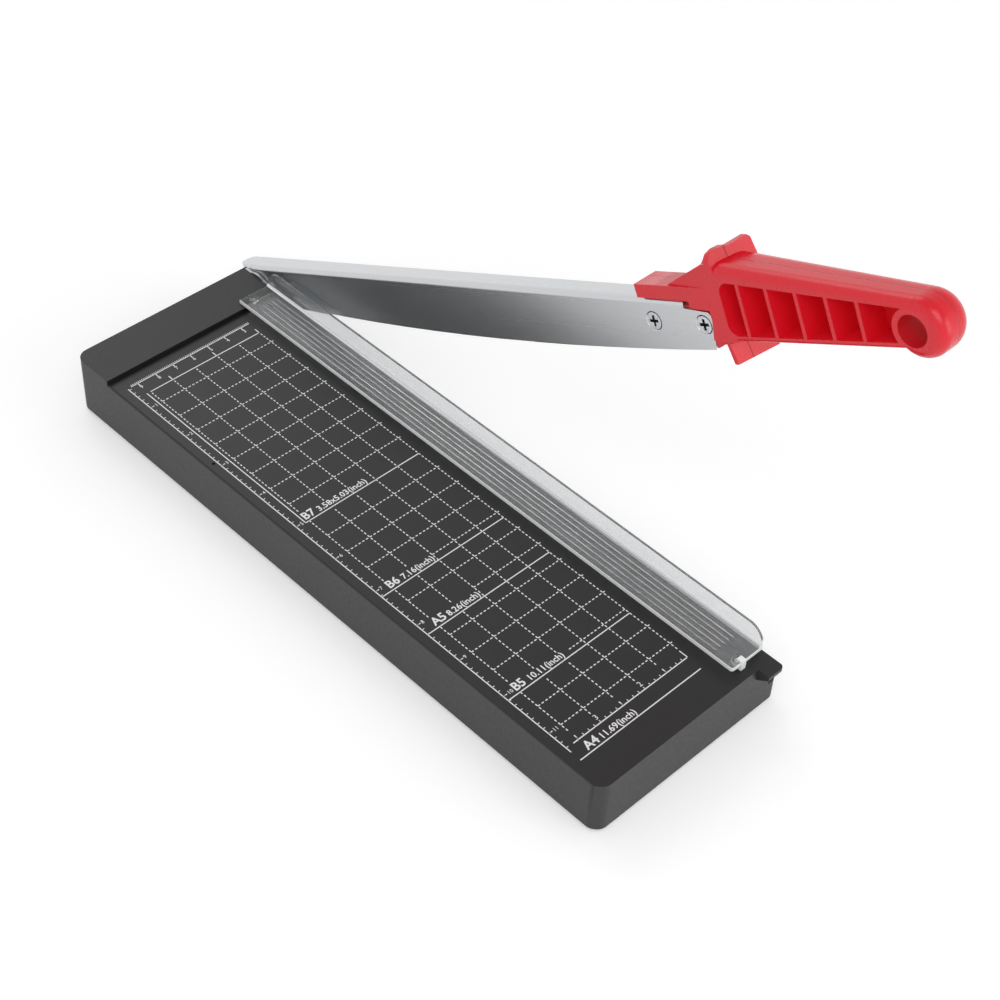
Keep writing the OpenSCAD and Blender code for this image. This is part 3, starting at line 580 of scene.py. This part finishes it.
@dataclass
class Base:
    """The moulded base with its feet and the fixed lower blade."""

    edge_mm: float = 0.45
    blade_room_mm: float = 2.5
    side_drop_mm: float = 0.3
    side_slope: float = 0.5

    def build(self) -> None:
        """Makes the shell with softened outer edges and dresses what it carries."""
        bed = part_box("base_shell")[1].z - FENCE_HEIGHT_MM * MM
        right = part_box("lower_blade")[1].x - self.blade_room_mm * MM
        shell = copied("base_shell", "base_body")
        soften(shell, self.edge_mm, 2, lambda p: p.z > bed - ROOM and p.x < right)
        polish(shell)
        settle(shell, Body.BASE, BLACK_ABS, ["base_shell"])
        # Faces below the bed that don't face up get the lighter grey: painted light on the sides and the
        # near end
        mark(shell, LIT_SIDE_ABS, lambda c, n: c.z < bed - self.side_drop_mm * MM and n.z < self.side_slope)
        for corner in ("near_left", "near_right", "far_left", "far_right"):
            dress("foot_" + corner, RUBBER)
        dress("lower_blade", KNIFE_STEEL)
        dress("lower_blade_screws", ZINC)


class Pen(Enum):
    """Widths of the printed lines, in millimetres."""

    LINE = 0.5
    TICK = 0.32


class Run(Enum):
    """Which way a ruler runs."""

    ACROSS = "across"
    ALONG = "along"


@dataclass(frozen=True)
class PaperSize:
    """A paper size on the bed: its name, its length, and the place and the ends of its line."""

    name: str
    inches: str
    y: float
    left: float
    right: float


@dataclass(frozen=True)
class Ticks:
    """A ruler's ticks: the first one's distance from zero, their step, their number and their ends."""

    first: float
    step: float
    count: int
    ends: tuple[float, float]
    pen: Pen


@dataclass(frozen=True)
class Ruler:
    """A printed ruler: its line, its short and long ticks, and the figures at the long ones."""

    run: Run
    zero: float
    place: float
    ends: tuple[float, float]
    short: Ticks
    long: Ticks
    figures: range
    figure_place: float
    figure_shift: float
    figure_height: float


INCH = 25.4
# The cut is this far from the grid's first line, and two of the rulers count from it
CUT_X = 89.0
LEFT_RULER = Ruler(
    Run.ALONG, zero=0.0, place=-6.7, ends=(-291.8, -8.6),
    short=Ticks(INCH * 3 / 8, INCH / 8, 89, (-6.7, -5.4), Pen.TICK),
    long=Ticks(INCH, INCH, 11, (-6.7, -4.6), Pen.LINE),
    figures=range(1, 12), figure_place=-4.2, figure_shift=0.9, figure_height=1.9)
FENCE_RULER = Ruler(
    Run.ACROSS, zero=CUT_X, place=-8.1, ends=(-4.7, 64.1),
    short=Ticks(93.0, 1.0, 69, (-8.1, -6.9), Pen.TICK),
    long=Ticks(90.0, 10.0, 7, (-10.2, -8.1), Pen.LINE),
    figures=range(3, 10), figure_place=-12.2, figure_shift=0.7, figure_height=2.1)
NEAR_RULER = Ruler(
    Run.ACROSS, zero=CUT_X, place=-289.2, ends=(-2.9, 63.0),
    short=Ticks(INCH * 3.5, INCH / 8, 20, (-289.2, -287.9), Pen.TICK),
    long=Ticks(INCH * 3.5, INCH, 3, (-289.2, -286.6), Pen.LINE),
    figures=range(2, 4), figure_place=-287.2, figure_shift=0.8, figure_height=2.6)
PAPER_SIZES = (
    PaperSize("B7", "3.58x5.03(inch)", -127.8, -2.0, 63.5),
    PaperSize("B6", "7.16(inch)", -181.9, -6.7, 63.5),
    PaperSize("A5", "8.26(inch)", -209.8, -6.7, 63.5),
    PaperSize("B5", "10.11(inch)", -256.8, -6.7, 63.5),
    PaperSize("A4", "11.69(inch)", -296.9, -6.9, 62.8))


@dataclass
class BedPrint:
    """White ink on the bed: dashed grid, rulers along three sides, and lines for paper sizes.

    Places are in millimetres from the point where the grid's first line meets the foot of the fence.
    """

    grid_left: float = 12.0
    fence_depth: float = 24.5
    ink: float = 0.05
    round_share: float = 0.3
    dash: float = 1.25
    dashes_in_half_inch: int = 6
    columns: int = 6
    column_dashes: int = 126
    columns_far: float = -17.6
    grid_width: float = 63.5
    frame_far: float = -16.5
    frame_top: float = -16.4
    frame_right: float = 63.0
    frame_tick: float = 3.2
    frame_ticks: int = 3
    near_stop: float = 63.3
    near_stop_far: float = -284.7
    label_rise: float = 1.4
    label_room: float = 0.5
    name_left: float = -1.0
    name_height: float = 4.2
    name_bold: float = 0.12
    inches_left: float = 7.0
    inches_height: float = 3.1
    inches_bold: float = 0.07

    def spot(self, x: float, y: float) -> Vector:
        """Returns a place on the bed in the object's frame, in metres."""
        low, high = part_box("base_shell")
        return Vector((low.x + (self.grid_left + x) * MM, high.y + (y - self.fence_depth) * MM,
                       high.z - FENCE_HEIGHT_MM * MM))

    def stroke(self, x_0: float, y_0: float, x_1: float, y_1: float) -> bpy.types.Object:
        """Lays one inked stroke with rounded corners.

        Args:
            x_0: Left end.
            y_0: Near end.
            x_1: Right end.
            y_1: Far end.

        Returns:
            The stroke.
        """
        wide, deep = (x_1 - x_0) * MM, (y_1 - y_0) * MM
        bpy.ops.object.select_all(action="DESELECT")
        bpy.ops.mesh.primitive_plane_add(size=1.0, location=self.spot((x_0 + x_1) / 2, (y_0 + y_1) / 2))
        bpy.ops.object.mode_set(mode="EDIT")
        bpy.ops.transform.resize(value=(wide, deep, 1.0))
        bpy.ops.mesh.bevel(offset=self.round_share * min(wide, deep), affect="VERTICES")
        bpy.ops.mesh.extrude_region_move(TRANSFORM_OT_translate={"value": (0.0, 0.0, self.ink * MM)})
        bpy.ops.mesh.select_all(action="SELECT")
        bpy.ops.mesh.normals_make_consistent(inside=False)
        bpy.ops.object.mode_set(mode="OBJECT")
        bpy.ops.object.transform_apply(location=True, rotation=True, scale=True)
        return bpy.context.object

    def across(self, y: float, x_0: float, x_1: float, pen: Pen = Pen.LINE) -> bpy.types.Object:
        """Returns a line across the bed."""
        return self.stroke(x_0, y - pen.value / 2, x_1, y + pen.value / 2)

    def along(self, x: float, y_0: float, y_1: float, pen: Pen = Pen.LINE) -> bpy.types.Object:
        """Returns a line along the bed."""
        return self.stroke(x - pen.value / 2, y_0, x + pen.value / 2, y_1)

    def row(self, piece: bpy.types.Object, count: int, step_x: float, step_y: float) -> bpy.types.Object:
        """Repeats a piece in a row.

        Args:
            piece: The piece to repeat.
            count: How many there are in the row.
            step_x: The step across the bed.
            step_y: The step along the bed.

        Returns:
            The same piece, with its copies in its mesh.
        """
        only(piece)
        bpy.ops.object.modifier_add(type="ARRAY")
        array = piece.modifiers[-1]
        array.count = count
        array.use_relative_offset = False
        array.use_constant_offset = True
        array.constant_offset_displace = (step_x * MM, step_y * MM, 0.0)
        bpy.ops.object.modifier_apply(modifier=array.name)
        return piece

    def word(self, text: str, x: float, y: float, height: float, bold: float = 0.0) -> bpy.types.Object:
        """Prints figures or letters.

        Args:
            text: What is printed.
            x: Left end.
            y: Foot of the letters.
            height: Height of a capital letter.
            bold: How much thicker the strokes are.

        Returns:
            The letters as a mesh.
        """
        bpy.ops.object.select_all(action="DESELECT")
        bpy.ops.object.text_add(location=self.spot(x, y))
        letters = bpy.context.object.data
        letters.body = text
        letters.size = height * MM / CAPITAL_SHARE
        letters.extrude = self.ink * MM
        letters.offset = bold * MM
        letters.resolution_u = 2
        bpy.ops.object.convert(target="MESH")
        bpy.ops.object.transform_apply(location=True, rotation=True, scale=True)
        bpy.ops.object.mode_set(mode="EDIT")
        bpy.ops.mesh.select_all(action="SELECT")
        bpy.ops.mesh.remove_doubles(threshold=MERGE / 2)
        bpy.ops.object.mode_set(mode="OBJECT")
        return bpy.context.object

    def spare(self, dashes: bpy.types.Object, words: Sequence[bpy.types.Object]) -> None:
        """Deletes the dashes that lie under words."""
        boxes = [(Vector(word.bound_box[0]), Vector(word.bound_box[6])) for word in words]
        room = self.label_room * MM
        choose(dashes, Kind.CORNER, lambda vert: any(
            low.x - room < vert.co.x < high.x + room and low.y - room < vert.co.y < high.y + room
            for low, high in boxes))
        bpy.ops.mesh.select_linked()
        bpy.ops.mesh.delete(type="VERT")
        bpy.ops.object.mode_set(mode="OBJECT")

    def grid(self, words: Sequence[bpy.types.Object]) -> list[bpy.types.Object]:
        """Returns the dashed half-inch grid, which spares the words."""
        half = INCH / 2
        step = half / self.dashes_in_half_inch
        dash = self.along(0.0, self.columns_far - self.dash, self.columns_far)
        columns = self.row(self.row(dash, self.column_dashes, 0.0, -step), self.columns, half, 0.0)
        self.spare(columns, words)
        parts = [columns]
        for line in GRID_ROWS:
            start = LATE_ROWS.get(line, 0.0)
            dash = self.across(-half * line, start, start + self.dash)
            parts.append(self.row(dash, int((self.grid_width - start) / step) + 1, step, 0.0))
        return parts

    def ruler(self, ruler: Ruler) -> list[bpy.types.Object]:
        """Prints a ruler.

        Args:
            ruler: The ruler to print.

        Returns:
            Its line, its ticks and its figures.
        """
        is_long = ruler.run is Run.ALONG
        line, tick = (self.along, self.across) if is_long else (self.across, self.along)
        parts = [line(ruler.place, *ruler.ends)]
        for ticks in (ruler.short, ruler.long):
            step = (0.0, -ticks.step) if is_long else (ticks.step, 0.0)
            first = tick(ruler.zero - ticks.first, *ticks.ends, ticks.pen)
            parts.append(self.row(first, ticks.count, *step))
        for figure in ruler.figures:
            at = ruler.zero - ruler.long.step * figure - ruler.figure_shift
            x, y = (ruler.figure_place, at) if is_long else (at, ruler.figure_place)
            parts.append(self.word(str(figure), x, y, ruler.figure_height))
        return parts

    def rulers(self) -> list[bpy.types.Object]:
        """Returns the inch ruler on the left, the centimetre ruler at the fence and the near inch ruler."""
        parts = [self.along(self.near_stop, NEAR_RULER.place, self.near_stop_far)]
        for ruler in (LEFT_RULER, FENCE_RULER, NEAR_RULER):
            parts += self.ruler(ruler)
        return parts

    def paper_sizes(self) -> tuple[list[bpy.types.Object], list[bpy.types.Object]]:
        """Returns the lines of the paper sizes, and their names."""
        small = PAPER_SIZES[0]
        tick = self.along(INCH / 2, self.frame_far, self.frame_far + self.frame_tick)
        lines = [self.across(self.frame_far, 0.0, self.frame_right),
                 self.along(small.left, small.y, self.frame_top),
                 self.row(tick, self.frame_ticks, INCH, 0.0)]
        words = []
        for size in PAPER_SIZES:
            foot = size.y + self.label_rise
            lines.append(self.across(size.y, size.left, size.right))
            words.append(self.word(size.name, self.name_left, foot, self.name_height, self.name_bold))
            words.append(self.word(size.inches, self.inches_left, foot, self.inches_height,
                                   self.inches_bold))
        return lines, words

    def build(self) -> None:
        """Prints everything and joins it into one piece."""
        lines, words = self.paper_sizes()
        parts = lines + words + self.grid(words) + self.rulers()
        only(parts[0])
        for part in parts:
            part.select_set(True)
        bpy.ops.object.join()
        ink = bpy.context.object
        ink.name = "bed_print"
        ink.data.name = "bed_print"
        settle(ink, Body.BASE, WHITE_INK)


@dataclass
class ClearGuard:
    """The clear guard along the cut and its two screws."""

    edge_mm: float = 0.35
    thick_mm: float = 2.0
    fin_mm: float = 1.2
    fillet_mm: float = 1.2
    corner_mm: float = 1.4
    lug_x_mm: float = 6.4
    lug_reach_mm: float = 1.456
    lug_out_mm: float = 0.7
    lug_back_mm: float = 5.6
    lug_cut_mm: float = 2.52
    white_mm: float = 0.4
    low: Vector = field(default_factory=lambda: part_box("guard")[0])
    high: Vector = field(default_factory=lambda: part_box("guard")[1])
    foot: float = field(default_factory=lambda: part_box("base_shell")[1].z)

    @property
    def end(self) -> float:
        """The foot's near end, which the lug stands out from."""
        return self.low.y + self.lug_out_mm * MM

    def at_lug(self, place: Vector) -> bool:
        """Says whether a place is within the lug's width."""
        return abs(place.x - self.low.x - self.lug_x_mm * MM) < self.lug_reach_mm * MM

    def shorten_lug(self, guard: bpy.types.Object) -> None:
        """Brings the back of the lug forward where it stands above the foot."""
        back = self.low.y + self.lug_back_mm * MM
        top = self.foot + self.thick_mm * MM
        choose(guard, Kind.CORNER, lambda vert: self.at_lug(vert.co)
               and abs(vert.co.y - back) < ROOM / 2 and vert.co.z > top - NEAR)
        bpy.ops.transform.translate(value=(0.0, -self.lug_cut_mm * MM, 0.0))
        bpy.ops.object.mode_set(mode="OBJECT")

    def fillet(self, guard: bpy.types.Object) -> None:
        """Fills the corner between the foot and the fin with a small round."""
        corner = Vector((self.high.x - self.fin_mm * MM, self.foot + self.thick_mm * MM))
        choose(guard, Kind.EDGE, lambda edge: all(
            (vert.co.xz - corner).length < 2 * NEAR for vert in edge.verts))
        bpy.ops.mesh.bevel(offset=self.fillet_mm * MM, segments=3, affect="EDGES")
        bpy.ops.object.mode_set(mode="OBJECT")

    def gathers_light(self, place: Vector, normal: Vector) -> bool:
        """Says whether a face is on the left edge, the near end, the lug or the filled corner, which are
        painted white as painted light and painted highlight.

        Args:
            place: The face's middle.
            normal: The face's normal.

        Returns:
            Whether the face looks white.
        """
        fin = self.high.x - self.fin_mm * MM
        on_lug = self.at_lug(place) and place.y < self.low.y + self.lug_back_mm * MM + ROOM
        in_corner = fin - self.fillet_mm * MM < place.x < fin and normal.x < -0.1 and normal.z > 0.05
        on_edge = min(place.x - self.low.x, place.y - self.end) < self.white_mm * MM
        return on_edge or on_lug or in_corner

    def build(self) -> None:
        """Makes the guard with a filled corner, softened edges, and its edges, lug and corner painted white
        as painted light.
        """
        guard = copied("guard", "clear_guard")
        self.shorten_lug(guard)
        self.fillet(guard)
        soften(guard, self.corner_mm, 4, lambda p: max(p.x - self.low.x, p.y - self.end) < NEAR)
        soften(guard, self.edge_mm, 2, lambda p: p.z > self.foot - ROOM)
        polish(guard)
        settle(guard, Body.BASE, CLEAR_PS, ["guard"])
        # The left edge, the near end and the lug are painted white for the light they gather, and the
        # filled corner carries a painted highlight
        mark(guard, SAWN_LIT_PS, self.gathers_light)
        dress("guard_screws", ZINC)


@dataclass
class Pivot:
    """The bolt, washers, disc spring and lock nut that the arm turns on."""

    def build(self) -> None:
        """Dresses the pivot's small parts."""
        for node in ("pivot_bolt", "pivot_head_washer", "pivot_inner_washer", "pivot_lock_nut"):
            dress(node, ZINC)
        dress("pivot_disc_spring", SPRING)
        dress("pivot_bush", BRASS)


@dataclass
class BladeArm:
    """The folded steel arm with its cutting edge."""

    edge_mm: float = 0.2
    tail_mm: float = 5.0

    def build(self) -> None:
        """Makes the arm with broken edges and a smooth fold."""
        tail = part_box("blade_arm")[0].z + self.tail_mm * MM
        arm = copied("blade_arm", "steel_arm")
        soften(arm, self.edge_mm, 1, lambda p: p.z > tail)
        polish(arm)
        settle(arm, Body.ARM, ARM_STEEL, ["blade_arm"])


@dataclass
class Handle:
    """The moulded handle and the screws that hold it to the arm.

    Places on it are in millimetres along the arm from the pivot and above the pivot line.
    """

    edge_mm: float = 0.5
    plate_edge_mm: float = 0.9
    plate_end: float = 326.0
    plate_foot: float = 24.8
    lip_mm: float = 0.7
    back_slope: float = 0.3
    recess_start: float = 319.0
    recess_end: float = 402.0
    recess_low: float = -3.52
    recess_low_slope: float = 0.04
    recess_high: float = 18.954
    recess_high_slope: float = -0.078
    hole_along: float = 406.1
    hole_above: float = 4.5
    hole_radius: float = 6.4
    head_edge_mm: float = 0.35
    cross_mm: float = 2.4
    cross_depth_mm: float = 2.0
    pivot: Vector = field(default_factory=lambda: middle("pivot_bush"))
    left: float = field(default_factory=lambda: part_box("handle")[0].x)

    def spot(self, place: Vector) -> tuple[float, float]:
        """Returns a place in millimetres along the arm from the pivot and above the pivot line."""
        near, up = self.pivot.y - place.y, place.z - self.pivot.z
        turn = math.cos(REST_ANGLE), math.sin(REST_ANGLE)
        return (near * turn[0] + up * turn[1]) / MM, (up * turn[0] - near * turn[1]) / MM

    def on_plate(self, place: Vector) -> bool:
        """Says whether a place is on the edge of the hand guard's upper plate."""
        along, above = self.spot(place)
        return along < self.plate_end and above > self.plate_foot

    def is_inside(self, place: Vector, normal: Vector) -> bool:
        """Says whether a face lies behind the lip and doesn't face right."""
        return place.x > self.left + self.lip_mm * MM and normal.x < self.back_slope

    def in_recess(self, place: Vector, normal: Vector) -> bool:
        """Says whether a face is inside the ribbed recess."""
        along, above = self.spot(place)
        back = along - self.recess_start
        low = self.recess_low + self.recess_low_slope * back
        high = self.recess_high + self.recess_high_slope * back
        is_within = self.recess_start < along < self.recess_end and low < above < high
        return is_within and self.is_inside(place, normal)

    def in_hole(self, place: Vector, normal: Vector) -> bool:
        """Says whether a face is inside the hanging hole."""
        along, above = self.spot(place)
        off = math.hypot(along - self.hole_along, above - self.hole_above)
        return self.is_inside(place, normal) and off < self.hole_radius

    def screw(self, place: str) -> None:
        """Makes a screw with a rounded head and a cross painted dark as painted shade, and dresses its nut.
        """
        node = "handle_screw_" + place
        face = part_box(node)[0].x
        axis = middle(node).yz
        screw = copied(node, "screw_" + place)
        soften(screw, self.head_edge_mm, 2, lambda p: p.x < face + ROOM / 2)
        polish(screw)
        settle(screw, Body.ARM, ZINC, [node])
        # The cross is painted nearly black: painted shade in the recess
        mark(screw, SHADED_ZINC, lambda c, n: ROOM < c.x - face < self.cross_depth_mm * MM
             and (c.yz - axis).length < self.cross_mm * MM)
        dress("handle_nut_" + place, ZINC)

    def build(self) -> None:
        """Makes the handle with softened edges, a matt inside with painted light in the recess and painted
        shade in the hanging hole, and the screws.
        """
        handle = copied("handle", "red_handle")
        soften(handle, self.plate_edge_mm, 4, self.on_plate)
        soften(handle, self.edge_mm, 3, lambda p: not self.on_plate(p))
        polish(handle)
        settle(handle, Body.ARM, RED_ABS, ["handle"])
        # The recess is painted a brighter red as painted light that lifts its shade
        mark(handle, RED_LIT_RECESS, self.in_recess)
        # The hanging hole is painted a darker red as painted shade
        mark(handle, RED_SHADED_HOLE, self.in_hole)
        for place in ("front", "rear"):
            self.screw(place)


@dataclass(frozen=True)
class Lamp:
    """A soft square light that faces the object: its place and side in metres, and its power in watts."""

    name: str
    place: tuple[float, float, float]
    side: float
    power: float

    def hang(self, target: Vector) -> None:
        """Hangs the light and turns it to the target."""
        lamp = bpy.data.lights.new(self.name, "AREA")
        lamp.size = self.side
        lamp.energy = self.power
        hung = bpy.data.objects.new(self.name, lamp)
        hung.location = self.place
        hung.rotation_euler = (target - Vector(self.place)).to_track_quat("-Z", "Y").to_euler()
        bpy.context.scene.collection.objects.link(hung)


@dataclass
class Studio:
    """A pale floor, soft lights and the camera at the photograph's angle."""

    daylight: float = 0.55
    zenith: float = 0.55
    floor_m: float = 6.0
    floor_shade: str = "#f0f0f0"
    floor_rough: float = 0.9
    floor_lift: float = 0.32
    far_lift: float = 0.52
    lift_ends: tuple[float, float] = (0.5, 1.8)
    zenith_ends: tuple[float, float] = (0.4, 0.75)
    lamps: tuple[Lamp, ...] = (Lamp("key_light", (-1.0, -0.9, 1.5), 1.2, 9.0),
                               Lamp("fill_light", (0.5, -1.6, 0.6), 1.2, 6.0),
                               Lamp("back_light", (0.3, 1.3, 1.4), 1.0, 4.0))
    lamp_target: tuple[float, float, float] = (0.0, 0.0, 0.06)
    lens_mm: float = 73.57
    sensor_mm: float = 36.0
    clip_m: float = 0.05
    camera_off: tuple[float, float, float] = (-0.379, -0.63634, 0.61872)
    camera_turn: tuple[float, float, float] = (45.65339, -2.362213, -44.104083)

    def seen(self, tree: bpy.types.NodeTree) -> bpy.types.NodeSocket:
        """Returns 1 for what the camera or a clear piece sees straight, and 0 for all other light."""
        path = add(tree, "ShaderNodeLightPath", {}, {}).outputs
        return maths(tree, "MAXIMUM", path["Is Camera Ray"], path["Is Transmission Ray"])

    def shone(self, tree: bpy.types.NodeTree) -> bpy.types.NodeSocket:
        """Returns 1 for what a reflection sees, and 0 for all other light."""
        return add(tree, "ShaderNodeLightPath", {}, {}).outputs["Is Glossy Ray"]

    def floor(self) -> None:
        """Lays a pale floor that keeps the object's shadow and is white away from it."""
        bpy.ops.object.select_all(action="DESELECT")
        bpy.ops.mesh.primitive_plane_add(size=self.floor_m)
        ground = bpy.context.object
        ground.name = "studio_floor"
        paper = bpy.data.materials.new("paper_white_matt")
        paper.use_nodes = True
        tree = paper.node_tree
        shader = tree.nodes["Principled BSDF"]
        shader.inputs["Base Color"].default_value = linear(self.floor_shade)
        shader.inputs["Roughness"].default_value = self.floor_rough
        shader.inputs["Specular IOR Level"].default_value = 0.0
        shader.inputs["Emission Color"].default_value = linear("#ffffff")
        looked = maths(tree, "MAXIMUM", self.seen(tree), self.shone(tree))
        away = add(tree, "ShaderNodeVectorMath", {"operation": "LENGTH"}, {
            0: on_object(tree)}).outputs["Value"]
        level = ramp(tree, away, self.lift_ends, (self.floor_lift, self.far_lift))
        tree.links.new(maths(tree, "MULTIPLY", looked, level), shader.inputs["Emission Strength"])
        ground.data.materials.append(paper)

    def sky(self) -> None:
        """Makes the white surround, which is dimmer overhead where a reflection sees it."""
        world = bpy.data.worlds.new("studio_surround")
        bpy.context.scene.world = world
        world.use_nodes = True
        tree = world.node_tree
        sky = tree.nodes["Background"]
        sky.inputs["Color"].default_value = linear("#ffffff")
        way = add(tree, "ShaderNodeTexCoord", {}, {}).outputs["Generated"]
        up = add(tree, "ShaderNodeSeparateXYZ", {}, {"Vector": way}).outputs["Z"]
        above = ramp(tree, up, self.zenith_ends, (1.0, self.zenith))
        round_it = ramp(tree, self.shone(tree), (0.0, 1.0), (self.daylight, above))
        level = ramp(tree, self.seen(tree), (0.0, 1.0), (round_it, 1.0))
        tree.links.new(level, sky.inputs["Strength"])

    def camera(self) -> None:
        """Sets the camera where the photograph was taken from."""
        lens = bpy.data.cameras.new("photo_camera")
        lens.lens = self.lens_mm
        lens.sensor_width = self.sensor_mm
        lens.sensor_fit = "HORIZONTAL"
        lens.clip_start = self.clip_m
        stand = bpy.data.objects.new("photo_camera", lens)
        low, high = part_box("base_shell")
        stand.location = Vector((low.x, high.y, high.z)) + Vector(self.camera_off)
        stand.rotation_euler = [math.radians(angle) for angle in self.camera_turn]
        bpy.context.scene.collection.objects.link(stand)
        bpy.context.scene.camera = stand

    def build(self) -> None:
        """Sets up the floor, the surround, the lights and the camera."""
        self.floor()
        self.sky()
        for lamp in self.lamps:
            lamp.hang(Vector(self.lamp_target))
        self.camera()
        bpy.context.scene.view_settings.view_transform = "Standard"


def main() -> None:
    """Builds the sub-assemblies in order."""
    for part in (Studio(), Base(), BedPrint(), ClearGuard(), Pivot(), BladeArm(), Handle()):
        LOG.info("%s", type(part).__name__)
        part.build()


if __name__ == "__main__":
    main()
